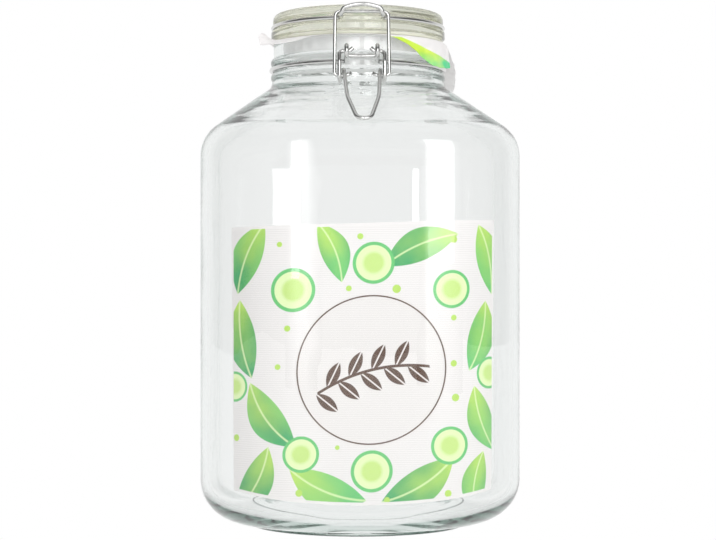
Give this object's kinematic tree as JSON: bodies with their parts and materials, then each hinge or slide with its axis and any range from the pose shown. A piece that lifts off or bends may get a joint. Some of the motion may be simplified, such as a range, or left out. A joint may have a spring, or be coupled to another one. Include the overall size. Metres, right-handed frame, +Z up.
{
  "type": "clip-top jar",
  "caption": "Large empty clear-glass storage jar with hinged glass lid, rubber seal and wire lever clip; a printed label stands inside and a printed leaf is caught under the lid.",
  "frame": {"origin": "centre of the foot, on the surface that the jar stands on", "axes": "+Z up, -Y to the clip, +Y to the hinge, +X to the right as seen from the clip"},
  "size_m": [0.175, 0.175, 0.287],
  "materials": {
    "clear_glass": "polished, faintly green where it is thick",
    "lid_glass": "pressed, polished",
    "seal_rubber": "matte, translucent beige",
    "leaf_paper": "printed coated paper",
    "label_paper": "printed paper with fine lines",
    "bright_wire": "bright drawn wire"
  },
  "bodies": {
    "jar": {"glass_jar": "clear_glass", "neck_wire": "bright_wire", "label": "label_paper"},
    "lid": {"glass_lid": "lid_glass", "gasket": "seal_rubber", "lid_wire": "bright_wire", "leaf": "leaf_paper"},
    "lever": {"lever": "bright_wire"},
    "bail": {"bail": "bright_wire"}
  },
  "joints": [
    {"name": "lid_hinge", "type": "hinge", "parent": "jar", "child": "lid", "pos_m": [0, 0.057, 0.266], "axis": [-1, 0, 0], "range_deg": [0, 105]},
    {"name": "lever_pivot", "type": "hinge", "parent": "jar", "child": "lever", "pos_m": [0, -0.0545, 0.2603], "axis": [-1, 0, 0], "range_deg": [0, 105]},
    {"name": "bail_pivot", "type": "hinge", "parent": "lever", "child": "bail", "pos_m": [0, -0.054, 0.2473], "axis": [1, 0, 0], "range_deg": [0, 73.5]}
  ],
  "couplings": [
    {"joint": "bail_pivot", "follows": "lever_pivot", "ratio": 0.7}
  ]
}
